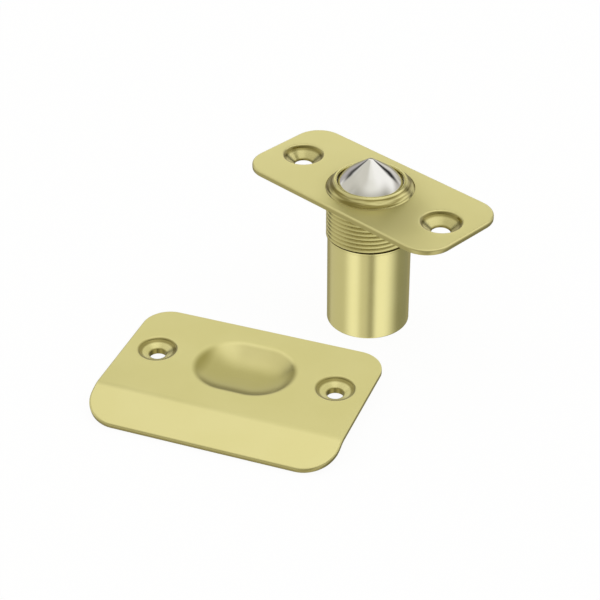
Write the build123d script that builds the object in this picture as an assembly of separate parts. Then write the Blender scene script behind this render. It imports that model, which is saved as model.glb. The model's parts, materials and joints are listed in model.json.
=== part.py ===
"""Adjustable ball catch with its strike plate.

A drawn tube, the barrel, holds a sprung bolt with a pointed nose. The barrel's upper end is threaded and screws
through the face plate, which sets how far the nose stands out of the door's edge. The strike plate goes on the frame:
its pressed pocket takes the nose and its bent lip leads the nose in.

Millimetres. The origin is on the barrel's axis, at the face plate's outer face. +Z points out along the bolt, and +X
runs along the face plate. The barrel stands on its end, with the strike plate lying on the same level beside it.
"""

from build123d import *
import math
import os

# Sheet that both plates are pressed from
SHEET = 1.27
EDGE_ROUND = 0.45

# Face plate
FACE_LENGTH = 57.15
FACE_WIDTH = 25.4
FACE_CORNER_R = 6.35
FACE_SCREW_SPACING = 42.0
FACE_SINK_RIM_R = 4.55
FACE_SINK_ROUND = 0.6
FACE_SINK_STEP_R = 4.33
FACE_SINK_STEP = 0.8
FACE_SINK_DEPTH = 2.9
FACE_SINK_LAND = 0.4
FACE_HOLE_R = 2.1

# Barrel
BARREL_R = 9.525
BARREL_DEPTH = 34.925
BARREL_WALL = 1.275
BARREL_END_CHAMFER = 0.4
THREAD_STEP = 0.175
THREAD_DEPTH = 12.1
RIM_HEIGHT = 1.95
RIM_CHAMFER_HEIGHT = 1.6
RIM_FLAT = 0.35
LIP_THICKNESS = 1.05
LIP_BEVEL = 0.2

# Bolt
NOSE_R = 7.45
NOSE_PROUD = 5.3
NOSE_TIP_R = 0.8
NOSE_SLOPE = 38.0
NOSE_FLANK_R = 5.6
SHOULDER_GAP = 0.05
SKIRT_LENGTH = 10.0
SKIRT_WALL = 1.6
SKIRT_ROOF = 2.0

# Spring and end plug
WIRE_R = 0.6
SPRING_TURNS = 11
PLUG_THICKNESS = 2.4
PLUG_RECESS = 0.3
PLUG_LEDGE = 0.35
BOSS_HEIGHT = 1.6

# Fits: a radial gap for each pair that slides, and for each that is only guided
RUNNING = 0.05
NOSE_CLEARANCE = 0.1
PLUG_CLEARANCE = 0.02
SPRING_CLEARANCE = 0.6
BOSS_CLEARANCE = 0.25

# Strike plate
STRIKE_LENGTH = 57.15
STRIKE_FLAT = 31.0
LIP_REACH = 9.3
LIP_ANGLE = 18.3
BEND_R = 7.0
STRIKE_BACK_CORNER_R = 6.35
STRIKE_LIP_CORNER_R = 7.5
STRIKE_SCREW_SPACING = 42.3
STRIKE_SCREW_Y = 16.0
STRIKE_SINK_RIM_R = 4.4
STRIKE_SINK_ROUND = 0.9
STRIKE_SINK_STEP_R = 4.1
STRIKE_SINK_STEP = 0.45
STRIKE_SINK_DEPTH = 2.85
STRIKE_SINK_LAND = 1.35
STRIKE_HOLE_R = 1.9
POCKET_HALF_LENGTH = 11.7
POCKET_R = 9.0
POCKET_SLOPE = 34.0
POCKET_SHOULDER_R = 3.2
POCKET_FLOOR_R = 14.0
PRESS_MARGIN = 1.4

# Where the strike plate lies beside the barrel: the middle of its bend, and its turn about +Z
STRIKE_PLACE = (5.5, -53.1)
STRIKE_TURN = 24.2

# Worked out from the sizes above
THREAD_R = BARREL_R + THREAD_STEP
BORE_R = BARREL_R - BARREL_WALL
SKIRT_R = BORE_R - RUNNING
SKIRT_BORE_R = SKIRT_R - SKIRT_WALL
LIP_UNDERSIDE = RIM_HEIGHT - LIP_THICKNESS
SHOULDER_Z = LIP_UNDERSIDE - SHOULDER_GAP
ROOF_Z = SHOULDER_Z - SKIRT_ROOF
PLUG_R = BORE_R + PLUG_LEDGE
PLUG_TOP = -BARREL_DEPTH + PLUG_RECESS + PLUG_THICKNESS
COIL_R = SKIRT_BORE_R - SPRING_CLEARANCE - WIRE_R
STRIKE_HEIGHT = LIP_REACH * math.tan(math.radians(LIP_ANGLE)) + SHEET / math.cos(math.radians(LIP_ANGLE))
POCKET_DEPTH = STRIKE_HEIGHT - SHEET


def turned(points):
    """Solid of revolution about Z from a closed outline of (radius, height) points."""
    return revolve(make_face(Plane.XZ * Polyline(*points, close=True)), Axis.Z)


def show_edges(body):
    """Edges round the outline of a sheet's upper skin."""
    skin = body.faces().filter_by(lambda face: face.normal_at().Z > 0.5)
    edges = [edge for face in skin for edge in face.edges()]
    return ShapeList([edge for edge in edges if edges.count(edge) == 1])


def underside(line):
    """Corners of a sheet's underside from those of its upper side, given as (across, height) from left to right."""
    points = [Vector(*point) for point in line]
    ways = [(after - before).normalized() for before, after in zip(points, points[1:])]
    downs = [Vector(way.Y, -way.X) for way in ways]
    pairs = zip(downs[:1] + downs, downs + downs[-1:])
    mitres = [(first + second) * (SHEET / (1 + first.dot(second))) for first, second in pairs]
    return [point + mitre for point, mitre in zip(points, mitres)]


def countersink(rim_r, rim_round, step_r, step, hole_r, depth, land):
    """Pressed countersink, and the round blank that it takes the place of in a sheet whose top is at z = 0.

    The sheet drops by a steep step, then is dished down to a short straight land round the hole. It keeps its
    thickness all the way.
    """
    cone = math.atan2(depth - land - step, step_r - hole_r)
    foot_r = hole_r + SHEET / math.sin(cone) - land / math.tan(cone)
    blank_r = rim_r + PRESS_MARGIN
    upper = [(hole_r, land - depth), (step_r, -step), (rim_r, 0), (blank_r, 0)]
    lower = underside(upper)[1:]
    section = make_face(Plane.XZ * Polyline((hole_r, -depth), *upper, *reversed(lower), (foot_r, -depth), close=True))
    rim = [v for v in section.vertices() if abs(v.Z) < 1e-6 and abs(v.X - rim_r) < 1e-6]
    form = revolve(fillet(rim, rim_round), Axis.Z)
    return form, Pos(0, 0, -SHEET / 2) * Cylinder(blank_r, SHEET)


def pocket():
    """Pressed bowl of the strike plate, obround from above, and the blank that it takes the place of."""
    slope = math.radians(POCKET_SLOPE)
    floor_r = POCKET_R - POCKET_DEPTH / math.tan(slope)
    blank_r = POCKET_R + POCKET_SHOULDER_R * math.tan(slope / 2) + PRESS_MARGIN
    straight = POCKET_HALF_LENGTH - POCKET_R
    upper = [(0, -POCKET_DEPTH), (floor_r, -POCKET_DEPTH), (POCKET_R, 0), (blank_r, 0)]
    lower = underside(upper)
    top = FilletPolyline(*upper, radius=[POCKET_FLOOR_R, POCKET_SHOULDER_R])
    bottom = FilletPolyline(*lower, radius=[POCKET_FLOOR_R + SHEET, POCKET_SHOULDER_R - SHEET])
    ends = [Line(lower[0], upper[0]), Line(lower[-1], upper[-1])]
    section = Plane.XZ * make_face([top, bottom, *ends])
    half_round = Rot(0, 0, -90) * revolve(section, Axis.Z, 180)
    side = Pos(-straight, 0, 0) * extrude(Rot(0, 0, 90) * section, 2 * straight, dir=(1, 0, 0))
    form = Pos(straight, 0, 0) * half_round + Pos(-straight, 0, 0) * (Rot(0, 0, 180) * half_round)
    form = form + side + mirror(side, Plane.XZ)
    blank = SlotOverall(2 * (straight + blank_r), 2 * blank_r)
    return form, Pos(0, 0, -SHEET) * extrude(blank, SHEET)


def press(sheet, form, blank, x, y):
    """Sheet with a pressed form in place of its blank."""
    return sheet - Pos(x, y, 0) * blank + Pos(x, y, 0) * form


def face_plate():
    """Flat plate with a tapped hole for the barrel and two pressed countersinks."""
    outline = RectangleRounded(FACE_LENGTH, FACE_WIDTH, FACE_CORNER_R)
    plate = Pos(0, 0, -SHEET) * extrude(outline, SHEET)
    plate = fillet(show_edges(plate), EDGE_ROUND)
    form, blank = countersink(
        FACE_SINK_RIM_R,
        FACE_SINK_ROUND,
        FACE_SINK_STEP_R,
        FACE_SINK_STEP,
        FACE_HOLE_R,
        FACE_SINK_DEPTH,
        FACE_SINK_LAND,
    )
    for side in (-1, 1):
        plate = press(plate, form, blank, side * FACE_SCREW_SPACING / 2, 0)
    return plate - Pos(0, 0, -SHEET / 2) * Cylinder(THREAD_R + RUNNING, 2 * SHEET)


def barrel():
    """Tube with a threaded upper end, a lip that holds the bolt in and a seat for the end plug."""
    lip_r = NOSE_R + NOSE_CLEARANCE
    flat_r = lip_r + LIP_BEVEL
    seat_r = PLUG_R + PLUG_CLEARANCE
    return turned(
        [
            (lip_r, LIP_UNDERSIDE),
            (lip_r, RIM_HEIGHT - LIP_BEVEL),
            (flat_r, RIM_HEIGHT),
            (flat_r + RIM_FLAT, RIM_HEIGHT),
            (THREAD_R, RIM_HEIGHT - RIM_CHAMFER_HEIGHT),
            (THREAD_R, THREAD_STEP - THREAD_DEPTH),
            (BARREL_R, -THREAD_DEPTH),
            (BARREL_R, BARREL_END_CHAMFER - BARREL_DEPTH),
            (BARREL_R - BARREL_END_CHAMFER, -BARREL_DEPTH),
            (seat_r, -BARREL_DEPTH),
            (seat_r, PLUG_TOP),
            (BORE_R, PLUG_TOP),
            (BORE_R, LIP_UNDERSIDE),
        ]
    )


def bolt():
    """Hardened bolt: a pointed nose, a shoulder under the barrel's lip and a hollow skirt over the spring."""
    slope = math.radians(NOSE_SLOPE)
    way = (math.cos(slope), -math.sin(slope))
    tip_z = RIM_HEIGHT + NOSE_PROUD
    skirt_z = SHOULDER_Z - SKIRT_LENGTH
    tip_end = (NOSE_TIP_R * math.sin(slope), tip_z - NOSE_TIP_R * (1 - math.cos(slope)))
    tip = CenterArc((0, tip_z - NOSE_TIP_R), NOSE_TIP_R, 90 - NOSE_SLOPE, NOSE_SLOPE)
    flank = Line(tip_end, (NOSE_FLANK_R, tip_end[1] - (NOSE_FLANK_R - tip_end[0]) * math.tan(slope)))
    foot = TangentArc(flank @ 1, (NOSE_R, LIP_UNDERSIDE), tangent=way)
    body = Polyline(
        (NOSE_R, LIP_UNDERSIDE),
        (NOSE_R, SHOULDER_Z),
        (SKIRT_R, SHOULDER_Z),
        (SKIRT_R, skirt_z),
        (SKIRT_BORE_R, skirt_z),
        (SKIRT_BORE_R, ROOF_Z),
        (0, ROOF_Z),
        (0, tip_z),
    )
    return revolve(Plane.XZ * make_face([tip, flank, foot, body]), Axis.Z)


def spring():
    """Round-wire compression spring from the end plug to the bolt's roof, with its ends ground flat."""
    height = ROOF_Z - PLUG_TOP
    coil = Helix(pitch=height / SPRING_TURNS, height=height, radius=COIL_R)
    wire = sweep(Plane(origin=coil @ 0, z_dir=coil % 0) * Circle(WIRE_R), path=coil)
    ground = Pos(0, 0, height / 2) * Cylinder(COIL_R + 2 * WIRE_R, height)
    return Pos(0, 0, PLUG_TOP) * (wire & ground)


def end_plug():
    """Disc pressed into the barrel's end, with a low boss that centres the spring."""
    boss_r = COIL_R - WIRE_R - BOSS_CLEARANCE
    return turned(
        [
            (0, PLUG_TOP - PLUG_THICKNESS),
            (PLUG_R, PLUG_TOP - PLUG_THICKNESS),
            (PLUG_R, PLUG_TOP),
            (boss_r, PLUG_TOP),
            (boss_r, PLUG_TOP + BOSS_HEIGHT),
            (0, PLUG_TOP + BOSS_HEIGHT),
        ]
    )


def strike_blank():
    """Bent sheet of the strike plate: its flat, its lip and its rounded corners."""
    angle = math.radians(LIP_ANGLE)
    past = 2 * SHEET
    drop = (LIP_REACH + past) * math.tan(angle)
    upper = [(-LIP_REACH - past, -drop), (0, 0), (STRIKE_FLAT, 0)]
    lower = underside(upper)
    top = FilletPolyline(*upper, radius=BEND_R)
    bottom = FilletPolyline(*lower, radius=BEND_R - SHEET)
    ends = [Line(upper[0], lower[0]), Line(upper[-1], lower[-1])]
    section = Plane.YZ * make_face([top, bottom, *ends])
    strip = Pos(-STRIKE_LENGTH / 2, 0, 0) * extrude(section, STRIKE_LENGTH, dir=(1, 0, 0))
    outline = Pos(0, (STRIKE_FLAT - LIP_REACH) / 2) * Rectangle(STRIKE_LENGTH, STRIKE_FLAT + LIP_REACH)
    back = outline.vertices().filter_by(lambda v: v.Y > 0)
    outline = fillet(back, STRIKE_BACK_CORNER_R)
    front = outline.vertices().filter_by(lambda v: v.Y < -LIP_REACH / 2)
    outline = fillet(front, STRIKE_LIP_CORNER_R)
    cutter = Pos(0, 0, -2 * STRIKE_HEIGHT) * extrude(outline, 3 * STRIKE_HEIGHT)
    return strip & cutter


def strike_plate():
    """Pressed plate for the door frame: a pocket for the nose, a bent lip and two pressed countersinks."""
    plate = strike_blank()
    plate = fillet(show_edges(plate), EDGE_ROUND)
    plate = press(plate, *pocket(), 0, STRIKE_SCREW_Y)
    form, blank = countersink(
        STRIKE_SINK_RIM_R,
        STRIKE_SINK_ROUND,
        STRIKE_SINK_STEP_R,
        STRIKE_SINK_STEP,
        STRIKE_HOLE_R,
        STRIKE_SINK_DEPTH,
        STRIKE_SINK_LAND,
    )
    for side in (-1, 1):
        plate = press(plate, form, blank, side * STRIKE_SCREW_SPACING / 2, STRIKE_SCREW_Y)
    return Pos(*STRIKE_PLACE, STRIKE_HEIGHT - BARREL_DEPTH) * (Rot(0, 0, STRIKE_TURN) * plate)


os.makedirs("parts", exist_ok=True)
export_step(face_plate(), "parts/face_plate.step")
export_step(barrel(), "parts/barrel.step")
export_step(bolt(), "parts/bolt.step")
export_step(spring(), "parts/spring.step")
export_step(end_plug(), "parts/end_plug.step")
export_step(strike_plate(), "parts/strike_plate.step")
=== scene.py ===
"""Adjustable ball catch with its strike plate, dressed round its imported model.

The file is laid out as an add-on. One operator models each piece, one more lights and frames the scene, and a
panel in the 3D view's sidebar lists them. Run as a script, it calls them all in order.
"""

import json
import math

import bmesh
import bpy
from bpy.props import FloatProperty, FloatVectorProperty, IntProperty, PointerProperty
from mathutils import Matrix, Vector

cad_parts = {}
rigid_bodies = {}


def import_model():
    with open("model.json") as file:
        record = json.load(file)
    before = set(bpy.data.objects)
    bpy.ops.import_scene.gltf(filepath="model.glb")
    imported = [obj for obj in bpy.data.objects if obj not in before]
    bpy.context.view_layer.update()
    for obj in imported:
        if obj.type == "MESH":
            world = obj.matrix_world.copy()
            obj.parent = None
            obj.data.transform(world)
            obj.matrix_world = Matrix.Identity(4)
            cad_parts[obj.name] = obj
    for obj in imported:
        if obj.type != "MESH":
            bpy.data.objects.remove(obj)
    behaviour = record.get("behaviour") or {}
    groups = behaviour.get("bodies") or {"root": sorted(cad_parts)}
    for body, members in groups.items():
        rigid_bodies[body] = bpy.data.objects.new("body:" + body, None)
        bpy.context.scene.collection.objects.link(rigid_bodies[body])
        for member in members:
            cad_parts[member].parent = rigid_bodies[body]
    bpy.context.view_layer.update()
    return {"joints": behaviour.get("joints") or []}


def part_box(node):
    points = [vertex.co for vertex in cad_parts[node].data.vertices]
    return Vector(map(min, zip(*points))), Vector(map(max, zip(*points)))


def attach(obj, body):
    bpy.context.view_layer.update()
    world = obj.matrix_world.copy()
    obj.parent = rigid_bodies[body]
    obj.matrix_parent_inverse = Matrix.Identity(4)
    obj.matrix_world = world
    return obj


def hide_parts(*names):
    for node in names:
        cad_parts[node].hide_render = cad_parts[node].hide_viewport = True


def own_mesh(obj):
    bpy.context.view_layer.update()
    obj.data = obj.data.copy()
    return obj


bl_info = {
    "name": "Ball Catch",
    "version": (1, 0, 0),
    "blender": (4, 5, 0),
    "location": "3D View > Sidebar > Ball Catch",
    "description": "Models an adjustable ball catch and its strike plate, with their finishes and a studio",
    "category": "Add Mesh",
}

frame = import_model()

MM = 0.001
WELD = 1e-6
FLAT = 0.999
ROUND_STEPS = 128
PLUG_STEPS = 96
SINK_STEPS = 72
SMOOTH_ANGLE = math.radians(35)
ARC_STEP = math.radians(7)
FULL_TURN = 2 * math.pi

FACE_LOW, FACE_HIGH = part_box("face_plate")
BARREL_LOW, BARREL_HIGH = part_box("barrel")
BOLT_LOW, BOLT_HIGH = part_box("bolt")
SPRING_LOW, SPRING_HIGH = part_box("spring")
PLUG_LOW, PLUG_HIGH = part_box("end_plug")
STRIKE_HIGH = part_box("strike_plate")[1]


def distance(name, description, millimetres):
    """A length that a user can change."""
    return FloatProperty(
        name=name,
        description=description,
        default=millimetres * MM,
        precision=5,
        step=1,
        unit="LENGTH",
        subtype="DISTANCE",
    )


def angle(name, description, degrees):
    """An angle that a user can change."""
    return FloatProperty(
        name=name,
        description=description,
        default=math.radians(degrees),
        unit="ROTATION",
        subtype="ANGLE",
    )


def share(name, description, default):
    """A number from 0 to 1 that a user can change."""
    return FloatProperty(name=name, description=description, default=default, min=0, max=1, subtype="FACTOR")


def colour(name, description, default):
    """A linear colour that a user can change."""
    return FloatVectorProperty(
        name=name,
        description=description,
        default=default,
        min=0,
        max=1,
        size=3,
        subtype="COLOR",
    )


def number(name, description, default):
    """A count that a user can change."""
    return IntProperty(name=name, description=description, default=default, min=3)


class SheetSizes(bpy.types.PropertyGroup):
    """Sheet metal that both plates are pressed from."""

    thickness: distance("Thickness", "Thickness of the sheet", 1.27)
    edge_round: distance("Edge round", "Radius of the rounded show edge", 0.45)
    back_round: distance("Back round", "Radius of the edge at the back", 0.12)
    margin: distance("Margin", "Flat ring pressed with each countersink and pocket", 1.4)


class FaceSizes(bpy.types.PropertyGroup):
    """Face plate."""

    length: distance("Length", "Length of the face plate", (FACE_HIGH.x - FACE_LOW.x) / MM)
    width: distance("Width", "Width of the face plate", (FACE_HIGH.y - FACE_LOW.y) / MM)
    corner: distance("Corner radius", "Radius of the corners", 6.35)
    screw_spacing: distance("Screw spacing", "Distance between the two screw holes", 42.0)
    sink_rim: distance("Countersink radius", "Radius of a countersink's rim", 4.55)
    sink_round: distance("Countersink edge", "Radius of the countersink's rim edge", 0.6)
    sink_step_radius: distance("Step radius", "Radius at the foot of the countersink's steep step", 4.33)
    sink_step: distance("Step depth", "Depth of the countersink's steep step", 0.8)
    sink_depth: distance("Countersink depth", "Depth of a countersink below the face", -FACE_LOW.z / MM)
    sink_land: distance("Countersink land", "Straight wall at the foot of a countersink", 0.4)
    screw_hole: distance("Screw hole radius", "Radius of the screw holes", 2.1)
    thread_hole: distance("Barrel hole radius", "Radius of the hole for the barrel", 9.9)
    thread_hole_edge: distance("Barrel hole edge", "Chamfer of the hole for the barrel", 0.12)


class BarrelSizes(bpy.types.PropertyGroup):
    """Barrel."""

    radius: distance("Radius", "Radius of the smooth lower end", 9.525)
    depth: distance("Depth", "Depth from the face plate's face to the end", -BARREL_LOW.z / MM)
    wall: distance("Wall", "Thickness of the wall below the lip", 1.275)
    end_round: distance("End round", "Radius of the lower edge", 0.4)
    edge: distance("Edge", "Rounding under the collar and at the mouth of the plug's seat", 0.1)
    rim: distance("Rim height", "Height of the rim above the face plate's face", BARREL_HIGH.z / MM)
    lip: distance("Lip thickness", "Thickness of the lip that holds the bolt in", 1.05)
    mouth: distance("Mouth radius", "Radius of the hole in the lip", 7.55)
    mouth_edge: distance("Mouth edge", "Bevel round the mouth", 0.2)
    rim_flat: distance("Rim flat", "Width of the flat round the mouth", 0.35)
    rim_slope: angle("Rim slope", "Slope of the chamfer round the rim", 45.0)
    rim_edge: distance("Rim edge", "Rounding between the rim's flat and its chamfer", 0.15)
    crest: distance("Thread crest radius", "Outer radius of the thread", 9.85)
    thread_height: distance("Thread height", "Height of the thread from root to crest", 0.52)
    thread_sharp: share("Thread sharpness", "How close the thread's section is to a sharp V", 0.93)
    thread_turns: number("Thread turns", "Turns of the cutter, from the thread's foot past the rim", 13)
    allowance: distance("Allowance", "How far the blank stands past the crest before the thread is cut", 0.08)
    pitch: distance("Pitch", "Pitch of the thread", 25.4 / 24)
    thread_depth: distance("Thread depth", "Depth of the collar's lower end below the face", 12.1)
    collar: distance("Collar height", "Height of the plain collar under the thread", 0.42)
    collar_edge: distance("Collar edge", "Rounding of the collar's lower edge", 0.15)
    seat_ledge: distance("Plug ledge", "Width of the ledge that the end plug seats on", 0.37)


class BoltSizes(bpy.types.PropertyGroup):
    """Sprung bolt."""

    nose: distance("Nose radius", "Radius of the nose at its base", 7.35)
    tip: distance("Tip height", "Height of the tip above the face plate's face", BOLT_HIGH.z / MM)
    tip_round: distance("Tip round", "Radius of the nose's tip", 1.1)
    tip_slope: angle("Tip slope", "Slope of the nose's flank", 36.0)
    flank: distance("Flank radius", "Radius at the foot of the nose's straight flank", 4.2)
    base: distance("Base height", "Height where the nose turns upright", 1.3)
    shoulder: distance("Shoulder height", "Height of the shoulder that stops under the lip", 0.85)
    skirt: distance("Skirt radius", "Radius of the skirt", BOLT_HIGH.x / MM)
    skirt_wall: distance("Skirt wall", "Thickness of the skirt's wall", 1.6)
    edge: distance("Edge bevel", "Bevel of the shoulder's and skirt's edges", 0.15)


class SpringSizes(bpy.types.PropertyGroup):
    """Compression spring."""

    wire: distance("Wire radius", "Radius of the wire", 0.6)
    turns: number("Turns", "Number of turns", 11)


class PlugSizes(bpy.types.PropertyGroup):
    """End plug."""

    thickness: distance("Thickness", "Thickness of the plug", 2.4)
    boss: distance("Boss radius", "Radius of the boss inside the spring", 4.55)
    edge: distance("Edge bevel", "Bevel of the plug's edges", 0.2)


class StrikeSizes(bpy.types.PropertyGroup):
    """Strike plate."""

    length: distance("Length", "Length of the strike plate", 57.15)
    flat: distance("Flat width", "Width of the flat, from the bend line to the back edge", 31.0)
    reach: distance("Lip reach", "Reach of the lip past the bend line", 9.3)
    lip_angle: angle("Lip angle", "Angle that the lip is bent down by", 18.3)
    bend: distance("Bend radius", "Outer radius of the bend", 7.0)
    back_corner: distance("Back corner radius", "Radius of the corners at the back", 6.35)
    lip_corner: distance("Lip corner radius", "Radius of the corners of the lip", 7.5)
    screw_spacing: distance("Screw spacing", "Distance between the two screw holes", 42.3)
    middle: distance("Pocket distance", "Distance of the pocket and the screw holes from the bend line", 16.0)
    sink_rim: distance("Countersink radius", "Radius of a countersink's rim", 4.4)
    sink_round: distance("Countersink edge", "Radius of the countersink's rim edge", 0.9)
    sink_step_radius: distance("Step radius", "Radius at the foot of the countersink's steep step", 4.1)
    sink_step: distance("Step depth", "Depth of the countersink's steep step", 0.45)
    sink_depth: distance("Countersink depth", "Depth of a countersink below the face", 2.85)
    sink_land: distance("Countersink land", "Straight wall at the foot of a countersink", 1.35)
    screw_hole: distance("Screw hole radius", "Radius of the screw holes", 1.9)
    pocket_length: distance("Pocket half length", "Half the length of the pocket", 11.7)
    pocket_radius: distance("Pocket radius", "Radius of the pocket's ends", 9.0)
    pocket_slope: angle("Pocket slope", "Slope of the pocket's wall", 34.0)
    pocket_shoulder: distance("Pocket shoulder", "Radius of the pocket's upper edge", 3.2)
    pocket_floor: distance("Pocket floor", "Radius at the foot of the pocket's wall", 14.0)
    place_x: distance("Place X", "Place of the middle of the bend line", 5.5)
    place_y: distance("Place Y", "Place of the middle of the bend line", -53.1)
    turn: angle("Turn", "Turn of the strike plate about the upright", 24.2)


class FinishSettings(bpy.types.PropertyGroup):
    """Colours and gloss of the metals, and the colours and strengths of the painted shade on the brass."""

    brass: colour("Brass", "Colour of the lacquered brass", (0.87, 0.80, 0.375))
    brass_deep: colour("Deep brass", "Colour in the hollows of the brass's faint clouds", (0.85, 0.78, 0.355))
    # Painted shade: the colour the brass is darkened to deep in its own hollows
    brass_hollow_shade: colour("Brass in hollows", "Colour of the brass deep in its hollows", (0.30, 0.25, 0.055))
    # Painted shade: the colour of the darkening at countersink rims, hole walls, steep faces, beside other
    # pieces and on the barrel's chamfer
    brass_painted_shade: colour("Rim brass", "Colour at the rims of countersinks and barrel", (0.30, 0.25, 0.07))
    # Painted shade: the colour of the darkening in the strike plate's pocket
    brass_pocket_shade: colour("Brass in the pocket", "Colour at the front of the pocket", (0.42, 0.37, 0.115))
    # How far the painted shade reaches, in a piece's own hollows and beside other pieces
    hollow: distance("Hollow reach", "How far across a hollow its brass darkens", 10.0)
    beside: distance("Neighbour reach", "How far a plate darkens beside another piece", 4.0)
    # How strong each painted shade is
    rim_shade: share("Rim shade", "How much a countersink's rim darkens", 0.85)
    wall_shade: share("Wall shade", "How much the wall of a screw hole darkens", 0.9)
    edge_shade: share("Cut edge shade", "How much a plate's cut edge darkens", 0.55)
    floor_shade: share("Pocket floor shade", "How much the pocket's floor darkens", 0.55)
    front_shade: share("Pocket front shade", "How much more the pocket's front darkens", 0.45)
    end_shade: share("Pocket end shade", "How much more the pocket's ends darken", 0.4)
    plate_roughness: share("Plate roughness", "Roughness of the pressed plates", 0.34)
    sink_roughness: share("Countersink roughness", "Roughness of the turned countersinks", 0.26)
    barrel_roughness: share("Barrel roughness", "Roughness of the turned barrel", 0.22)
    steel: colour("Steel", "Colour of the polished steel", (0.90, 0.885, 0.84))
    steel_deep: colour("Deep steel", "Colour in the hollows of the steel's faint clouds", (0.87, 0.855, 0.81))
    steel_roughness: share("Steel roughness", "Roughness of the polished steel", 0.10)
    wire: colour("Spring wire", "Colour of the spring's wire", (0.55, 0.55, 0.56))
    wire_deep: colour("Deep spring wire", "Colour in the grain of the spring's wire", (0.42, 0.42, 0.43))


class StudioSettings(bpy.types.PropertyGroup):
    """Floor and light."""

    shadow: share("Floor shadow", "How much of its shadow the white floor shows", 0.08)
    floor_light: share("Floor light", "Brightness of the open floor without its own glow", 0.66)


class CatchSettings(bpy.types.PropertyGroup):
    """All sizes and finishes of the ball catch."""

    sheet: PointerProperty(type=SheetSizes)
    face: PointerProperty(type=FaceSizes)
    barrel: PointerProperty(type=BarrelSizes)
    bolt: PointerProperty(type=BoltSizes)
    spring: PointerProperty(type=SpringSizes)
    plug: PointerProperty(type=PlugSizes)
    strike: PointerProperty(type=StrikeSizes)
    finish: PointerProperty(type=FinishSettings)
    studio: PointerProperty(type=StudioSettings)


# Outlines


def section(*pairs):
    """Points of a half section, from (radius, height) pairs."""
    return [Vector((radius, 0, height)) for radius, height in pairs]


def arc(centre, start, end, steps):
    """Points of an arc round a centre, from one point to another."""
    radius = (start - centre).length
    first = (start - centre).normalized()
    last = (end - centre).normalized()
    return [centre + radius * first.slerp(last, k / steps) for k in range(steps + 1)]


def rounded(corners, radii):
    """The line through some corners, with an arc of its own radius at each one between the ends."""
    line = [corners[0]]
    for before, corner, after, radius in zip(corners, corners[1:], corners[2:], radii):
        if radius == 0:
            line.append(corner)
            continue
        into = (corner - before).normalized()
        out = (after - corner).normalized()
        turn = into.angle(out)
        reach = radius * math.tan(turn / 2)
        centre = corner + (out - into).normalized() * radius / math.cos(turn / 2)
        line += arc(centre, corner - into * reach, corner + out * reach, max(2, round(turn / ARC_STEP)))
    return line + [corners[-1]]


def onward(start, outward, end, steps):
    """Points of the arc that leaves a point at right angles to a direction, and ends at another point."""
    chord = end - start
    centre = start + outward * chord.length_squared / (2 * chord.dot(outward))
    return arc(centre, start, end, steps)


def underside(line, thickness):
    """Corners of a sheet's underside, from those of its upper side, given from the axis outwards."""
    ways = [(after - before).normalized() for before, after in zip(line, line[1:])]
    downs = [Vector((way.z, 0, -way.x)) for way in ways]
    pairs = zip(downs[:1] + downs, downs + downs[-1:])
    mitres = [(first + second) * thickness / (1 + first.dot(second)) for first, second in pairs]
    return [point + mitre for point, mitre in zip(line, mitres)]


# Modelling in edit mode


def begin(name):
    """Starts a piece as an empty mesh, open in edit mode, with nothing else selected."""
    bpy.ops.object.select_all(action="DESELECT")
    bpy.ops.mesh.primitive_plane_add(size=MM, enter_editmode=True)
    bpy.ops.mesh.delete(type="VERT")
    bpy.context.object.name = name
    return bpy.context.object


def pick(kind, test):
    """Selects the vertices, edges or faces that pass a test, and only those."""
    mesh = bpy.context.edit_object.data
    bpy.ops.mesh.select_mode(type=kind)
    bpy.ops.mesh.select_all(action="DESELECT")
    shape = bmesh.from_edit_mesh(mesh)
    for part in {"VERT": shape.verts, "EDGE": shape.edges, "FACE": shape.faces}[kind]:
        if test(part):
            part.select_set(True)
    shape.select_flush_mode()
    bmesh.update_edit_mesh(mesh)


def near(value, *marks):
    """Whether a value lies on one of some marks."""
    return min(abs(value - mark) for mark in marks) < WELD


def at_height(height):
    """A test for the open edges at a height."""
    return lambda edge: len(edge.link_faces) < 2 and all(near(v.co.z, height) for v in edge.verts)


def weld():
    """Joins the vertices that lie on each other."""
    bpy.ops.mesh.select_all(action="SELECT")
    bpy.ops.mesh.remove_doubles(threshold=WELD)


def trace(line, place=(0, 0)):
    """Draws a line from point to point by extruding one vertex, and leaves all of it selected."""
    bpy.ops.mesh.select_mode(type="VERT")
    bpy.ops.mesh.select_all(action="DESELECT")
    bpy.ops.mesh.primitive_plane_add(size=MM, location=line[0] + Vector((*place, 0)))
    bpy.ops.mesh.merge(type="CENTER")
    for here, there in zip(line, line[1:]):
        bpy.ops.mesh.extrude_region_move(TRANSFORM_OT_translate={"value": there - here})
    bpy.ops.mesh.select_linked()


def spin(steps, turn=FULL_TURN, place=(0, 0)):
    """Turns what is selected about an upright axis."""
    bpy.ops.mesh.spin(steps=steps, angle=turn, center=(*place, 0), axis=(0, 0, 1))


def lathe(line, steps, place=(0, 0)):
    """Turns a line into a ring or a solid about an upright axis."""
    trace(line, place)
    spin(steps, place=place)
    weld()


def fill(height):
    """Fills the flat between the open edges at a height."""
    pick("EDGE", at_height(height))
    bpy.ops.mesh.fill(use_beauty=True)


def modify(piece, kind, **settings):
    """Adds a modifier to a piece and applies it."""
    modifier = piece.modifiers.new(kind.capitalize(), kind)
    for name, value in settings.items():
        setattr(modifier, name, value)
    bpy.ops.object.modifier_apply(modifier=modifier.name)


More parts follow.
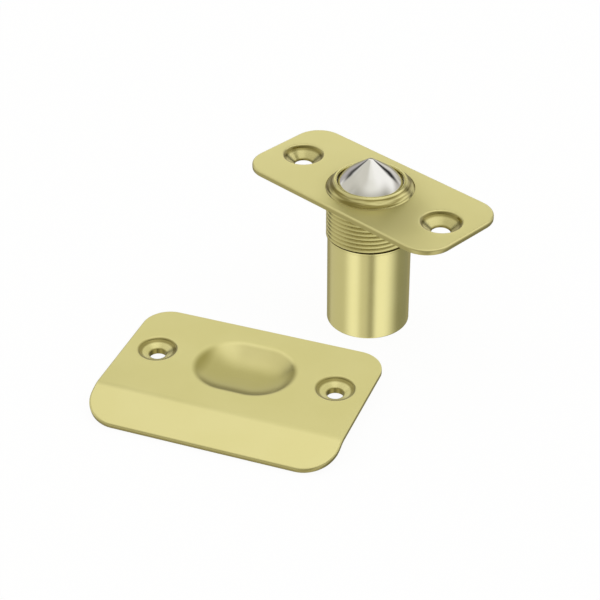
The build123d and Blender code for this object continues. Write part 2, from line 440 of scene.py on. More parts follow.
def blank(low, high, corners, sheet):
    """A sheet's blank without its flats: a plane, extruded down, with rounded corners and edges.

    The corners are the two radii, at the low and at the high side.
    """
    centre = ((low.x + high.x) / 2, (low.y + high.y) / 2, 0)
    bpy.ops.mesh.primitive_plane_add(size=1, location=centre)
    size = (high.x - low.x, high.y - low.y, 1)
    bpy.ops.transform.resize(value=size, center_override=centre)
    for side, radius in zip((low.y, high.y), corners):
        pick("VERT", lambda v: abs(v.co.y - side) < WELD and near(v.co.x, low.x, high.x))
        bpy.ops.mesh.bevel(offset=radius, segments=16, affect="VERTICES")
    bpy.ops.mesh.select_mode(type="FACE")
    bpy.ops.mesh.select_all(action="SELECT")
    down = (0, 0, -sheet.thickness)
    bpy.ops.mesh.extrude_region_move(TRANSFORM_OT_translate={"value": down})
    for height, radius, segments in ((0, sheet.edge_round, 5), (down[2], sheet.back_round, 2)):
        pick("EDGE", lambda edge: all(near(v.co.z, height) for v in edge.verts))
        bpy.ops.mesh.bevel(offset=radius, segments=segments, affect="EDGES")
    pick("FACE", lambda face: abs(face.normal.z) > FLAT and len(face.verts) > 4)
    bpy.ops.mesh.delete(type="ONLY_FACE")


def countersink(place, sizes, sheet):
    """Presses a countersink into a sheet: a steep step, then a dished cone down to a land round the hole."""
    depth = sizes.sink_depth
    land = sizes.sink_land
    cone = math.atan2(depth - land - sizes.sink_step, sizes.sink_step_radius - sizes.screw_hole)
    foot = sizes.screw_hole + sheet.thickness / math.sin(cone) - land / math.tan(cone)
    upper = section(
        (sizes.screw_hole, land - depth),
        (sizes.sink_step_radius, -sizes.sink_step),
        (sizes.sink_rim, 0),
        (sizes.sink_rim + sheet.margin, 0),
    )
    bottom = section((sizes.screw_hole, -depth), (foot, -depth))
    corners = [*reversed(upper), *bottom, *underside(upper, sheet.thickness)[1:]]
    small = sheet.back_round
    radii = [sizes.sink_round, small, small, small, 2 * small, small, small]
    lathe(rounded(corners, radii), SINK_STEPS, place)


def seat(piece, node, body, material):
    """Welds and smooths a piece, faces outwards, and puts it on its body in place of its CAD node."""
    weld()
    bpy.ops.mesh.normals_make_consistent(inside=False)
    bpy.ops.object.mode_set(mode="OBJECT")
    bpy.ops.object.shade_smooth_by_angle(angle=SMOOTH_ANGLE)
    modify(piece, "WEIGHTED_NORMAL", keep_sharp=True)
    piece.data.materials.clear()
    piece.data.materials.append(material)
    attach(piece, body)
    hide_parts(node)


# Materials

# Where each painted shade of the pocket starts and where it is full, from the pocket's middle
POCKET_FLOOR = (8.0 * MM, 1.5 * MM)
POCKET_FRONT = (-3.5 * MM, -7.5 * MM)
POCKET_ENDS = (8.3 * MM, 10.6 * MM)

# Height of the band of painted shade on the chamfer round the barrel's mouth
SHADED_BAND = (0.1 * MM, BARREL_HIGH.z - 0.32 * MM)


class Wire:
    """A node's output. Arithmetic on it adds Math nodes."""

    def __init__(self, graph, socket):
        self.graph = graph
        self.socket = socket

    def __add__(self, other):
        return self.graph.maths("ADD", self, other)

    def __sub__(self, other):
        return self.graph.maths("SUBTRACT", self, other)

    def __rsub__(self, other):
        return self.graph.maths("SUBTRACT", other, self)

    def __mul__(self, other):
        return self.graph.maths("MULTIPLY", self, other)

    __radd__ = __add__
    __rmul__ = __mul__

    def other(self, name):
        """Another output of the same node."""
        return Wire(self.graph, self.socket.node.outputs[name])


class Graph:
    """A node tree that is built from expressions."""

    def __init__(self, tree):
        self.tree = tree
        tree.nodes.clear()

    def node(self, kind, settings, sockets, output=0):
        """Adds a node with its settings, then the values or wires of its sockets."""
        node = self.tree.nodes.new(kind)
        for name, value in settings.items():
            setattr(node, name, value)
        for name, value in sockets.items():
            if isinstance(value, Wire):
                self.tree.links.new(value.socket, node.inputs[name])
            else:
                node.inputs[name].default_value = value
        return Wire(self, node.outputs[output]) if len(node.outputs) else None

    def maths(self, operation, *values):
        """Adds a Math node."""
        return self.node("ShaderNodeMath", {"operation": operation}, dict(enumerate(values)))

    def noise(self, place, scale, detail):
        """Adds a noise from 0 to 1."""
        return self.node("ShaderNodeTexNoise", {}, {"Vector": place, "Scale": scale, "Detail": detail})

    def stretch(self, place, scale):
        """Stretches coordinates."""
        return self.node("ShaderNodeVectorMath", {"operation": "MULTIPLY"}, {0: place, 1: scale})

    def fit(self, value, low, high):
        """Eases a value from 0 at the low to 1 at the high."""
        return self.node(
            "ShaderNodeMapRange",
            {"interpolation_type": "SMOOTHSTEP"},
            {"Value": value, "From Min": low, "From Max": high},
        )

    def mix(self, factor, first, second):
        """Mixes two colours, or wires that carry colours."""
        pair = [end if isinstance(end, Wire) else (*end, 1) for end in (first, second)]
        return self.node("ShaderNodeMix", {"data_type": "RGBA"}, {0: factor, 6: pair[0], 7: pair[1]}, 2)

    def open_air(self, reach, own=True):
        """How open the surface is: 1 on a flat, and less in its own hollows, or beside any piece."""
        settings = {"only_local": own, "samples": 6}
        return self.node("ShaderNodeAmbientOcclusion", settings, {"Distance": reach}, 1)

    def across(self, sideways, along):
        """Length of a step from its two shares."""
        return self.maths("SQRT", sideways * sideways + along * along)


def new_graph(name):
    """A new material with an empty graph."""
    material = bpy.data.materials.new(name)
    material.use_nodes = True
    return material, Graph(material.node_tree)


def finish_metal(graph, tint, roughness, relief, depth):
    """The metal's shader, with a fine relief in metres pressed into it."""
    normal = graph.node(
        "ShaderNodeBump",
        {},
        {"Height": relief, "Distance": depth, "Strength": 1.0},
    )
    surface = graph.node(
        "ShaderNodeBsdfPrincipled",
        {},
        {"Base Color": tint, "Metallic": 1, "Roughness": roughness, "Normal": normal},
    )
    graph.node("ShaderNodeOutputMaterial", {}, {"Surface": surface})


def brass_tint(graph, place, finish, scale):
    """Brass with a faint cloud, darkened in its hollows as painted shade, and that cloud."""
    cloud = graph.noise(place, scale, 2)
    tint = graph.mix(graph.fit(cloud, 0.3, 0.7), finish.brass_deep, finish.brass)
    # Painted shade in the hollows, by how open the surface is
    openness = graph.fit(graph.open_air(finish.hollow), 0.15, 1.0)
    return graph.mix(openness, finish.brass_hollow_shade, tint), cloud


def band(graph, value, low, high, soft):
    """A soft mask: 1 between the low and the high."""
    return graph.fit(value, low - soft, low + soft) * graph.fit(value, high + soft, high - soft)


def sink_shade(graph, from_hole, sizes, finish):
    """Painted shade: how much the rim of a countersink and the wall of its hole darken."""
    rim = band(graph, from_hole, sizes.sink_rim - 1.1 * sizes.sink_round, sizes.sink_rim, 0.25 * MM)
    wall = graph.fit(from_hole, sizes.screw_hole + 0.4 * MM, sizes.screw_hole)
    return graph.maths("MAXIMUM", rim * finish.rim_shade, wall * finish.wall_shade)


def pocket_shade(graph, side, y, sizes, finish):
    """Painted shade in the pocket: how much its floor darkens, more so its front and its ends."""
    past = graph.maths("MAXIMUM", side - (sizes.pocket_length - sizes.pocket_radius), 0)
    from_line = graph.across(past, y)
    inside = graph.fit(from_line, sizes.pocket_radius + 0.6 * MM, sizes.pocket_radius - 1.0 * MM)
    floor = graph.fit(y, *POCKET_FLOOR) * finish.floor_shade
    front = graph.fit(y, *POCKET_FRONT) * finish.front_shade
    ends = graph.fit(side, *POCKET_ENDS) * finish.end_shade
    return inside * graph.maths("MINIMUM", floor + front + ends, 1)


def edge_shade(graph, finish):
    """Painted shade on steep faces, such as a plate's cut edge: how much it darkens, by how far its face is
    from level.
    """
    normal = graph.node("ShaderNodeTexCoord", {}, {}, "Normal")
    upright = graph.maths("ABSOLUTE", graph.node("ShaderNodeSeparateXYZ", {}, {"Vector": normal}).other("Z"))
    return graph.fit(upright, 0.55, 0.2) * finish.edge_shade


def pressed_brass(name, sizes, middle=0, place=(0, 0), turn=0, pocket=False):
    """Brushed and lacquered sheet brass: an even satin with a very fine grain, and turned countersinks, with
    painted shade at the countersinks' rims, the holes' walls, steep faces, beside other pieces and in the
    pocket.

    Place and turn say where the plate lies, and middle is how far along its own Y its screw holes are.
    """
    finish = bpy.context.scene.ball_catch.finish
    material, graph = new_graph(name)
    spot = graph.node("ShaderNodeTexCoord", {}, {}, "Object")
    tint, cloud = brass_tint(graph, spot, finish, 90)
    grain = graph.noise(spot, 5200, 3)
    level = graph.node(
        "ShaderNodeMapping",
        {"vector_type": "TEXTURE"},
        {"Vector": spot, "Location": (*place, 0), "Rotation": (0, 0, turn)},
    )
    x = graph.node("ShaderNodeSeparateXYZ", {}, {"Vector": level})
    y = x.other("Y") - middle
    side = graph.maths("ABSOLUTE", x)
    from_hole = graph.across(side - sizes.screw_spacing / 2, y)
    # Painted shade at the countersinks' rims and the screw holes' walls
    tint = graph.mix(sink_shade(graph, from_hole, sizes, finish), tint, finish.brass_painted_shade)
    # Painted shade in the pocket
    if pocket:
        tint = graph.mix(pocket_shade(graph, side, y, sizes, finish), tint, finish.brass_pocket_shade)
    # Painted shadow beside other pieces, by how open the surface is to them
    beside = graph.open_air(finish.beside, own=False)
    tint = graph.mix(graph.fit(beside, 0.25, 0.95), finish.brass_painted_shade, tint)
    # Painted shade on steep faces such as the cut edges
    tint = graph.mix(edge_shade(graph, finish), tint, finish.brass_painted_shade)
    sink = graph.fit(from_hole, sizes.sink_rim + 0.2 * MM, sizes.sink_rim - 0.3 * MM)
    satin = finish.plate_roughness + 0.04 * (cloud - 0.5) + 0.06 * (grain - 0.5)
    roughness = satin + (finish.sink_roughness - finish.plate_roughness) * sink
    finish_metal(graph, tint, roughness, grain, 0.004 * MM)
    return material


def turned_brass(name):
    """Turned brass: fine lines round the axis, uneven in depth, and a patchy painted shade on the chamfer
    round the mouth.
    """
    finish = bpy.context.scene.ball_catch.finish
    material, graph = new_graph(name)
    place = graph.node("ShaderNodeTexCoord", {}, {}, "Object")
    lines = graph.noise(graph.stretch(place, (60, 60, 5000)), 1, 4)
    tint, cloud = brass_tint(graph, place, finish, 110)
    height = graph.node("ShaderNodeSeparateXYZ", {}, {"Vector": place}).other("Z")
    grooves = graph.noise(graph.stretch(place, (120, 120, 1500)), 1, 2)
    rim = band(graph, height, *SHADED_BAND, 0.1 * MM)
    # Patchy painted shade on the chamfer round the mouth
    tint = graph.mix(rim * graph.fit(grooves, 0.30, 0.62), tint, finish.brass_painted_shade)
    roughness = finish.barrel_roughness + 0.05 * (lines - 0.5) + 0.03 * (cloud - 0.5)
    finish_metal(graph, tint, roughness, lines, 0.003 * MM)
    return material


def polished_steel(name):
    """Polished steel with faint lines round the axis."""
    finish = bpy.context.scene.ball_catch.finish
    material, graph = new_graph(name)
    place = graph.node("ShaderNodeTexCoord", {}, {}, "Object")
    flat = graph.stretch(place, (1, 1, 0))
    radius = graph.node("ShaderNodeVectorMath", {"operation": "LENGTH"}, {0: flat}, "Value")
    lines = graph.noise(graph.node("ShaderNodeCombineXYZ", {}, {"X": radius * 6000}), 1, 3)
    cloud = graph.noise(place, 160, 2)
    tint = graph.mix(cloud, finish.steel_deep, finish.steel)
    roughness = finish.steel_roughness + 0.03 * (lines - 0.5) + 0.03 * (cloud - 0.5)
    finish_metal(graph, tint, roughness, lines, 0.0006 * MM)
    return material


def spring_wire(name):
    """Drawn spring wire with a fine grain."""
    finish = bpy.context.scene.ball_catch.finish
    material, graph = new_graph(name)
    place = graph.node("ShaderNodeTexCoord", {}, {}, "Object")
    grain = graph.noise(graph.stretch(place, (900, 900, 4000)), 1, 3)
    tint = graph.mix(grain, finish.wire_deep, finish.wire)
    finish_metal(graph, tint, 0.3 + 0.12 * (grain - 0.5), grain, 0.004 * MM)
    return material


# Pieces


class CATCH_OT_face_plate(bpy.types.Operator):
    """Models the face plate with its two countersinks and the hole for the barrel"""

    bl_idname = "catch.face_plate"
    bl_label = "Face Plate"

    def execute(self, context):
        sizes = context.scene.ball_catch.face
        sheet = context.scene.ball_catch.sheet
        plate = begin("face_plate_sheet")
        half = Vector((sizes.length / 2, sizes.width / 2, 0))
        blank(-half, half, (sizes.corner, sizes.corner), sheet)
        for side in (-1, 1):
            countersink((side * sizes.screw_spacing / 2, 0), sizes, sheet)
        edge = sizes.thread_hole_edge
        hole = section(
            (sizes.thread_hole + edge, 0),
            (sizes.thread_hole, -edge),
            (sizes.thread_hole, edge - sheet.thickness),
            (sizes.thread_hole + edge, -sheet.thickness),
        )
        lathe(hole, ROUND_STEPS)
        fill(0)
        fill(-sheet.thickness)
        seat(plate, "face_plate", "face", pressed_brass("face_plate_brass", sizes))
        plate.visible_glossy = False
        return {"FINISHED"}


def level_off(height, keep_above):
    """Cuts off what lies on one side of a level."""
    bpy.ops.mesh.select_all(action="SELECT")
    bpy.ops.mesh.bisect(
        plane_co=(0, 0, height),
        plane_no=(0, 0, 1),
        clear_inner=keep_above,
        clear_outer=not keep_above,
        threshold=WELD,
    )


def thread_cutter(sizes, foot):
    """Models what the thread is cut with: a wavy wall wound round the barrel, closed well outside it."""
    cutter = begin("thread_cutter")
    points = 12
    outside = 1.15
    middle = sizes.crest - sizes.thread_height / 2
    line = []
    for k in range(points + 1):
        wave = math.cos(FULL_TURN * k / points)
        swing = math.asin(sizes.thread_sharp * wave) / math.asin(sizes.thread_sharp)
        height = foot + sizes.pitch * (k / points - 1)
        line += section((middle - swing * sizes.thread_height / 2, height))
    trace(line)
    bpy.ops.object.mode_set(mode="OBJECT")
    modify(
        cutter,
        "SCREW",
        screw_offset=sizes.pitch,
        iterations=sizes.thread_turns + 2,
        steps=ROUND_STEPS,
        render_steps=ROUND_STEPS,
        use_merge_vertices=False,
    )
    bpy.ops.object.mode_set(mode="EDIT")
    weld()
    top = foot + sizes.thread_turns * sizes.pitch
    for height, keep_above in ((foot, True), (top, False)):
        level_off(height, keep_above)
        pick("EDGE", at_height(height))
        bpy.ops.mesh.extrude_edges_move()
        bpy.ops.transform.resize(value=(outside, outside, 1), center_override=(0, 0, height))
    pick(
        "EDGE",
        lambda edge: len(edge.link_faces) == 1
        and all(v.co.xy.length > sizes.crest for v in edge.verts)
        and all(near(v.co.z, top, foot) for v in edge.verts),
    )
    bpy.ops.mesh.bridge_edge_loops()
    weld()
    bpy.ops.mesh.normals_make_consistent(inside=False)
    bpy.ops.object.mode_set(mode="OBJECT")
    return cutter


class CATCH_OT_barrel(bpy.types.Operator):
    """Models the barrel: a turned tube with an inward lip and a fine thread cut round its upper end"""

    bl_idname = "catch.barrel"
    bl_label = "Barrel"

    def execute(self, context):
        sizes = context.scene.ball_catch.barrel
        plug = context.scene.ball_catch.plug
        barrel = begin("barrel_tube")
        bore = sizes.radius - sizes.wall
        seat_radius = bore + sizes.seat_ledge
        seat_height = PLUG_LOW.z + plug.thickness
        lip_foot = sizes.rim - sizes.lip
        blank_radius = sizes.crest + sizes.allowance
        flat = sizes.mouth + sizes.mouth_edge + sizes.rim_flat
        thread_foot = sizes.collar - sizes.thread_depth
        corners = section(
            (sizes.mouth, lip_foot),
            (sizes.mouth, sizes.rim),
            (flat, sizes.rim),
            (blank_radius, sizes.rim - (blank_radius - flat) * math.tan(sizes.rim_slope)),
            (blank_radius, thread_foot),
            (sizes.crest, thread_foot),
            (sizes.crest, -sizes.thread_depth),
            (sizes.radius, -sizes.thread_depth),
            (sizes.radius, -sizes.depth),
            (seat_radius, -sizes.depth),
            (seat_radius, seat_height),
            (bore, seat_height),
            (bore, lip_foot),
            (sizes.mouth, lip_foot),
        )
        upper = [sizes.mouth_edge, sizes.rim_edge, 0, 0, 0]
        lower = [sizes.collar_edge, sizes.edge, sizes.end_round, sizes.edge, 0, 0, 0]
        lathe(rounded(corners, upper + lower), ROUND_STEPS)
        bpy.ops.mesh.normals_make_consistent(inside=False)
        bpy.ops.object.mode_set(mode="OBJECT")
        cutter = thread_cutter(sizes, thread_foot)
        bpy.ops.object.select_all(action="DESELECT")
        barrel.select_set(True)
        context.view_layer.objects.active = barrel
        modify(barrel, "BOOLEAN", operation="DIFFERENCE", object=cutter, solver="MANIFOLD")
        bpy.data.objects.remove(cutter)
        bpy.ops.object.mode_set(mode="EDIT")
        seat(barrel, "barrel", "catch_body", turned_brass("barrel_brass"))
        return {"FINISHED"}


class CATCH_OT_bolt(bpy.types.Operator):
    """Models the bolt: a pointed nose, a shoulder and a hollow skirt"""

    bl_idname = "catch.bolt"
    bl_label = "Bolt"

    def execute(self, context):
        sizes = context.scene.ball_catch.bolt
        bolt = begin("bolt_nose")
        top, foot = section((0, sizes.tip), (sizes.nose, sizes.base))
        outward = Vector((math.sin(sizes.tip_slope), 0, math.cos(sizes.tip_slope)))
        tip_centre = top - Vector((0, 0, sizes.tip_round))
        tip_end = tip_centre + outward * sizes.tip_round
        flank = sizes.flank - tip_end.x
        flank_end = tip_end + Vector((flank, 0, -flank * math.tan(sizes.tip_slope)))
        nose = arc(tip_centre, top, tip_end, steps=8) + onward(flank_end, outward, foot, steps=20)
        roof = SPRING_HIGH.z
        inner = sizes.skirt - sizes.skirt_wall
        edge = sizes.edge
        body = section(
            (sizes.nose, sizes.shoulder),
            (sizes.skirt - edge, sizes.shoulder),
            (sizes.skirt, sizes.shoulder - edge),
            (sizes.skirt, BOLT_LOW.z + edge),
            (sizes.skirt - edge, BOLT_LOW.z),
            (inner + edge, BOLT_LOW.z),
            (inner, BOLT_LOW.z + edge),
            (inner, roof),
            (0, roof),
        )
        lathe(nose + body, ROUND_STEPS)
        seat(bolt, "bolt", "sprung_bolt", polished_steel("nose_steel"))
        return {"FINISHED"}


class CATCH_OT_spring(bpy.types.Operator):
    """Models the compression spring, with its ends ground flat"""

    bl_idname = "catch.spring"
    bl_label = "Spring"

    def execute(self, context):
        sizes = context.scene.ball_catch.spring
        spring = begin("spring_coil")
        coil = SPRING_HIGH.x - sizes.wire
        bpy.ops.mesh.primitive_circle_add(
            vertices=14,
            radius=sizes.wire,
            location=(coil, 0, SPRING_LOW.z),
            rotation=(math.pi / 2, 0, 0),
        )
        bpy.ops.object.mode_set(mode="OBJECT")
        height = SPRING_HIGH.z - SPRING_LOW.z
        modify(
            spring,
            "SCREW",
            screw_offset=height / sizes.turns,
            iterations=sizes.turns,
            steps=40,
            render_steps=40,
            use_merge_vertices=False,
        )
        bpy.ops.object.mode_set(mode="EDIT")
        weld()
        bpy.ops.mesh.fill_holes(sides=0)
        for level, keep_above in ((SPRING_LOW.z, True), (SPRING_HIGH.z, False)):
            level_off(level, keep_above)
            weld()
            fill(level)
        seat(spring, "spring", "catch_body", spring_wire("spring_wire"))
        slide = next(joint for joint in frame["joints"] if joint["name"] == "bolt_slide")
        travel = -slide["range_m"][0]
        1 - travel / height
        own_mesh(spring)
        return {"FINISHED"}


class CATCH_OT_end_plug(bpy.types.Operator):
    """Models the end plug with its boss"""

    bl_idname = "catch.end_plug"
    bl_label = "End Plug"

    def execute(self, context):
        sizes = context.scene.ball_catch.plug
        plug = begin("end_plug_disc")
        top = PLUG_LOW.z + sizes.thickness
        corners = section(
            (0, PLUG_LOW.z),
            (PLUG_HIGH.x, PLUG_LOW.z),
            (PLUG_HIGH.x, top),
            (sizes.boss, top),
            (sizes.boss, PLUG_HIGH.z),
            (0, PLUG_HIGH.z),
        )
        radii = [sizes.edge, sizes.edge / 2, sizes.edge / 2, 2 * sizes.edge]
        lathe(rounded(corners, radii), PLUG_STEPS)
        seat(plug, "end_plug", "catch_body", turned_brass("plug_brass"))
        return {"FINISHED"}


def press_pocket(sizes, sheet):
    """Presses the obround pocket: its section is spun round each end and drawn along each side."""
    slope = sizes.pocket_slope
    depth = STRIKE_HIGH.z - BARREL_LOW.z - sheet.thickness
    floor = sizes.pocket_radius - depth / math.tan(slope)
    outer = sizes.pocket_radius + sizes.pocket_shoulder * math.tan(slope / 2) + sheet.margin
    upper = section((0, -depth), (floor, -depth), (sizes.pocket_radius, 0), (outer, 0))
    lower = underside(upper, sheet.thickness)
    straight = sizes.pocket_length - sizes.pocket_radius
    lines = [
        rounded(upper, [sizes.pocket_floor, sizes.pocket_shoulder]),
        rounded(lower, [sizes.pocket_floor + sheet.thickness, sizes.pocket_shoulder - sheet.thickness]),
    ]
    half_turn_steps = 40
    runs = 4
    for line in lines:
        across = [Vector((0, -point.x, point.z)) for point in line]
        trace(across, (straight, sizes.middle))
        for side in (1, -1):
            spin(half_turn_steps, -math.pi, (side * straight, sizes.middle))
            for _ in range(runs):
                along = {"value": (-side * 2 * straight / runs, 0, 0)}
                bpy.ops.mesh.extrude_region_move(TRANSFORM_OT_translate=along)
    weld()


def bend_lip(sizes, tangent, bend_length):
    """Bends the lip down, a little at each of several lines across the bend."""
    steps = 10
    step = sizes.lip_angle / steps
    places = [tangent - bend_length * (k + 0.5) / steps for k in range(steps)]
    for place in places:
        bpy.ops.mesh.select_mode(type="VERT")
        bpy.ops.mesh.select_all(action="SELECT")
        bpy.ops.mesh.bisect(plane_co=(0, place, 0), plane_no=(0, 1, 0), threshold=WELD)
    for place in reversed(places):
        pick("VERT", lambda v: v.co.y < place - WELD)
        bpy.ops.transform.rotate(value=-step, orient_axis="X", center_override=(0, place, 0))


class CATCH_OT_strike_plate(bpy.types.Operator):
    """Models the strike plate with its pocket, its bent lip and its two countersinks"""

    bl_idname = "catch.strike_plate"
    bl_label = "Strike Plate"

    def execute(self, context):
        sizes = context.scene.ball_catch.strike
        sheet = context.scene.ball_catch.sheet
        plate = begin("strike_plate_sheet")
        tangent = sizes.bend * math.tan(sizes.lip_angle / 2)
        bend_length = sizes.bend * sizes.lip_angle
        front = tangent - bend_length - (sizes.reach / math.cos(sizes.lip_angle) - tangent)
        low = Vector((-sizes.length / 2, front, 0))
        high = Vector((sizes.length / 2, sizes.flat, 0))
        blank(low, high, (sizes.lip_corner, sizes.back_corner), sheet)
        for side in (-1, 1):
            countersink((side * sizes.screw_spacing / 2, sizes.middle), sizes, sheet)
        press_pocket(sizes, sheet)
        fill(0)
        fill(-sheet.thickness)
        bend_lip(sizes, tangent, bend_length)
        weld()
        bpy.ops.mesh.normals_make_consistent(inside=False)
        bpy.ops.object.mode_set(mode="OBJECT")
        plate.rotation_euler.z = sizes.turn
        plate.location = (sizes.place_x, sizes.place_y, STRIKE_HIGH.z)
        bpy.ops.object.transform_apply(location=True, rotation=True, scale=True)
        bpy.ops.object.mode_set(mode="EDIT")
        place = (sizes.place_x, sizes.place_y)
        brass = pressed_brass("strike_plate_brass", sizes, sizes.middle, place, sizes.turn, pocket=True)
        seat(plate, "strike_plate", "catch_body", brass)
        plate.visible_glossy = False
        return {"FINISHED"}


# Stage

# The camera, as fitted to the product picture: its place, its turn in degrees, its lens and its azimuth
CAMERA_PLACE = (0.234144, -0.256210, 0.204722)
CAMERA_TURN = (55.8515, 0.2039, 44.8924)
CAMERA_LENS = 108.088
CAMERA_AZIMUTH = -45

# Soft cards in the world, which the metal reflects: name, turn from the camera, height, half width, half
# height, softness of the sides, softness of the top and foot (all in degrees) and colour. Each one hides what
# the ones before it leave.
CARDS = (
    ("high front", 0, 60, 40, 20, 40, 8, (0.84, 0.84, 0.80)),
    ("ceiling", -75, 60, 50, 20, 28, 8, (0.66, 0.65, 0.60)),
    ("left", -102, 26, 26, 22, 8, 8, (0.62, 0.61, 0.56)),
    ("right", 108, 10, 24, 14, 12, 8, (0.52, 0.50, 0.48)),
    ("high back", 172, 46, 32, 14, 12, 5, (0.47, 0.47, 0.42)),
    ("back light", -172, 25, 36, 8, 12, 4, (0.96, 0.96, 0.88)),
    ("low left", -115, -45, 53, 35, 14, 10, (0.60, 0.59, 0.53)),
    ("low right", 118, -50, 50, 32, 26, 16, (0.27, 0.27, 0.22)),
    ("low back", 180, -26, 45, 34, 8, 7, (0.34, 0.32, 0.22)),
    ("front left", -14, -20, 14, 60, 9, 5, (0.66, 0.65, 0.60)),
    ("over the camera", 0, 22, 78, 24, 25, 14, (0.34, 0.33, 0.28)),
    ("front", 6, -20, 9, 36, 8, 4, (0.33, 0.32, 0.27)),
    ("left dusk", -150, 8, 16, 12, 6, 6, (0.46, 0.44, 0.45)),
    ("right dusk", 152, 10, 10, 14, 6, 6, (0.70, 0.68, 0.66)),
    ("left streak", -138, 23, 12, 8, 5, 7, (0.06, 0.06, 0.06)),
    ("right streak", 133, 23, 12, 9, 5, 7, (0.02, 0.02, 0.02)),
)


# A card that stands behind the strike plate, for the plate to mirror
REFLECTOR_SIZE = (200 * MM, 90 * MM)
REFLECTOR_PLACE = (0, FACE_LOW.y - 0.2 * MM, BARREL_LOW.z + 46 * MM)

# A card that the face plate mirrors to the camera just before the ring, square to that line of sight
TOWARDS_CAMERA = Vector((0.675, -0.738, 0))
TO_THE_RIGHT = Vector((0.738, 0.675, 0))
MIRRORED_SIGHT = Vector((-0.558, 0.610, 0.562))
FLAG_SIZE = (12.5 * MM, 5.2 * MM)
FLAG_SPOT = (7.25 * TOWARDS_CAMERA + 1.5 * TO_THE_RIGHT) * MM
FLAG_PLACE = FLAG_SPOT + 30 * MM * MIRRORED_SIGHT
FLAG_TURN = (-MIRRORED_SIGHT).to_track_quat("Z", "Y").to_euler()


def add_floor(studio):
    """A white floor at the foot of the barrel, which keeps a faint shadow."""
    bpy.ops.object.select_all(action="DESELECT")
    bpy.ops.mesh.primitive_plane_add(size=4, location=(0, 0, BARREL_LOW.z))
    floor = bpy.context.object
    floor.name = "floor"
    floor.visible_glossy = False
    material, graph = new_graph("floor_white")
    plain = graph.node("ShaderNodeBsdfDiffuse", {}, {"Color": (0.9, 0.9, 0.9, 1)})
    glow = (1 - studio.shadow * studio.floor_light) / (1 - studio.shadow)
    white = graph.node("ShaderNodeEmission", {}, {"Color": (1, 1, 1, 1), "Strength": glow})
    seen = graph.node("ShaderNodeLightPath", {}, {}, "Is Camera Ray")
    surface = graph.node("ShaderNodeMixShader", {}, {0: seen * (1 - studio.shadow), 1: plain, 2: white})
    graph.node("ShaderNodeOutputMaterial", {}, {"Surface": surface})
    floor.data.materials.append(material)


def finish_card(name, tone):
    """Finishes a card: it glows on its front, is clear from behind, and shows in reflections alone."""
    card = bpy.context.object
    card.name = name
    bpy.ops.object.transform_apply(location=True, rotation=True, scale=True)
    card.visible_camera = False
    card.visible_diffuse = False
    card.visible_shadow = False
    card.visible_transmission = False
    material, graph = new_graph(name + "_light")
    grey = graph.node("ShaderNodeEmission", {}, {"Color": (*tone, 1)})
    clear = graph.node("ShaderNodeBsdfTransparent", {}, {})
    back = graph.node("ShaderNodeNewGeometry", {}, {}, "Backfacing")
    mixed = graph.node("ShaderNodeMixShader", {}, {0: back, 1: grey, 2: clear})
    graph.node("ShaderNodeOutputMaterial", {}, {"Surface": mixed})
    card.data.materials.append(material)


def add_cards():
    """Two cards that only the metal reflects, one for each plate."""
    bpy.ops.object.select_all(action="DESELECT")
    bpy.ops.mesh.primitive_plane_add(size=1, location=REFLECTOR_PLACE)
    bpy.context.object.scale = (*REFLECTOR_SIZE, 1)
    bpy.context.object.rotation_euler.x = math.pi / 2
    finish_card("strike_reflector", (0.73, 0.73, 0.66))
    bpy.ops.mesh.primitive_circle_add(vertices=48, radius=1, fill_type="NGON", location=FLAG_PLACE)
    bpy.context.object.scale = (*FLAG_SIZE, 1)
    bpy.context.object.rotation_euler = FLAG_TURN
    finish_card("ring_flag", (0.24, 0.23, 0.15))


def add_camera(scene):
    """The camera, at the viewing angle of the product picture."""
    bpy.ops.object.camera_add(location=CAMERA_PLACE)
    camera = bpy.context.object
    camera.rotation_euler = [math.radians(turn) for turn in CAMERA_TURN]
    camera.data.lens = CAMERA_LENS
    camera.data.sensor_width = 36
    camera.data.clip_start = 0.01
    scene.camera = camera


def soft_card(graph, azimuth, elevation, light, card):
    """Puts one soft card in front of the light that the earlier ones leave."""
    turn, height, half_width, half_height, side, top, tone = card[1:]
    facing = math.radians(turn + CAMERA_AZIMUTH)
    away = graph.maths("ABSOLUTE", graph.maths("WRAP", azimuth - facing, math.pi, -math.pi))
    over = graph.maths("ABSOLUTE", elevation - math.radians(height))
    cover = 1
    for off, half, soft in ((away, half_width, side), (over, half_height, top)):
        cover = graph.fit(off, math.radians(half + soft), math.radians(half - soft)) * cover
    return graph.mix(cover, light, tone)


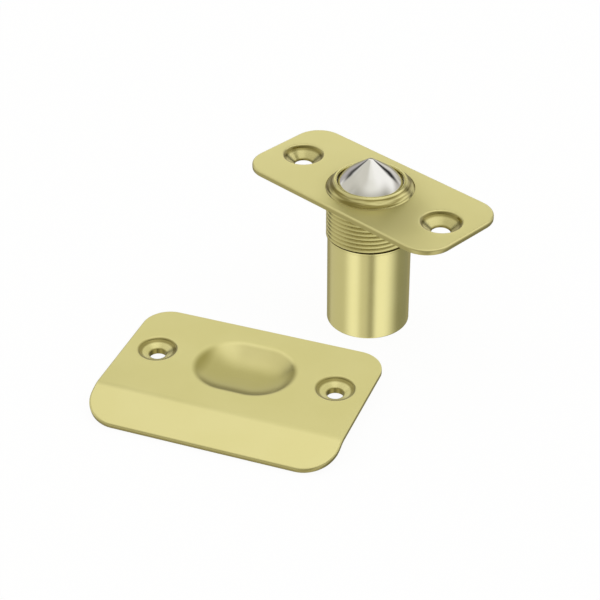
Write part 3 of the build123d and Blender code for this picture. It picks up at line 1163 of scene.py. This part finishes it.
def add_world(scene):
    """A white room with soft grey cards, which the camera doesn't see."""
    world = bpy.data.worlds.new("studio")
    world.use_nodes = True
    graph = Graph(world.node_tree)
    direction = graph.node("ShaderNodeTexCoord", {}, {}, "Generated")
    x = graph.node("ShaderNodeSeparateXYZ", {}, {"Vector": direction})
    azimuth = graph.maths("ARCTAN2", x.other("Y"), x)
    elevation = graph.maths("ARCSINE", x.other("Z"))
    light = (1, 1, 1)
    for card in CARDS:
        light = soft_card(graph, azimuth, elevation, light, card)
    path = graph.node("ShaderNodeLightPath", {}, {}, "Is Camera Ray")
    clear = graph.maths("MAXIMUM", path, path.other("Is Transmission Ray"))
    light = graph.mix(clear, light, (1, 1, 1))
    surface = graph.node("ShaderNodeBackground", {}, {"Color": light})
    graph.node("ShaderNodeOutputWorld", {}, {"Surface": surface})
    scene.world = world


class CATCH_OT_studio(bpy.types.Operator):
    """Adds the floor, the cards, the camera and the light"""

    bl_idname = "catch.studio"
    bl_label = "Studio"

    def execute(self, context):
        add_floor(context.scene.ball_catch.studio)
        add_cards()
        add_camera(context.scene)
        add_world(context.scene)
        context.scene.view_settings.view_transform = "Standard"
        return {"FINISHED"}


class CATCH_PT_sidebar(bpy.types.Panel):
    """Lists the pieces of the ball catch"""

    bl_idname = "CATCH_PT_sidebar"
    bl_label = "Ball Catch"
    bl_space_type = "VIEW_3D"
    bl_region_type = "UI"
    bl_category = "Ball Catch"

    def draw(self, context):
        for step in STEPS:
            self.layout.operator(step.bl_idname)


STEPS = (
    CATCH_OT_face_plate,
    CATCH_OT_barrel,
    CATCH_OT_bolt,
    CATCH_OT_spring,
    CATCH_OT_end_plug,
    CATCH_OT_strike_plate,
    CATCH_OT_studio,
)

CLASSES = (
    SheetSizes,
    FaceSizes,
    BarrelSizes,
    BoltSizes,
    SpringSizes,
    PlugSizes,
    StrikeSizes,
    FinishSettings,
    StudioSettings,
    CatchSettings,
    *STEPS,
    CATCH_PT_sidebar,
)


def register():
    """Registers the classes, and hangs the settings on the scene."""
    for item in CLASSES:
        bpy.utils.register_class(item)
    bpy.types.Scene.ball_catch = PointerProperty(type=CatchSettings)


def unregister():
    """Takes away what register added."""
    del bpy.types.Scene.ball_catch
    for item in reversed(CLASSES):
        bpy.utils.unregister_class(item)


def main():
    """Models every piece and the stage in order."""
    register()
    for step in STEPS:
        group, name = step.bl_idname.split(".")
        getattr(getattr(bpy.ops, group), name)()


if __name__ == "__main__":
    main()
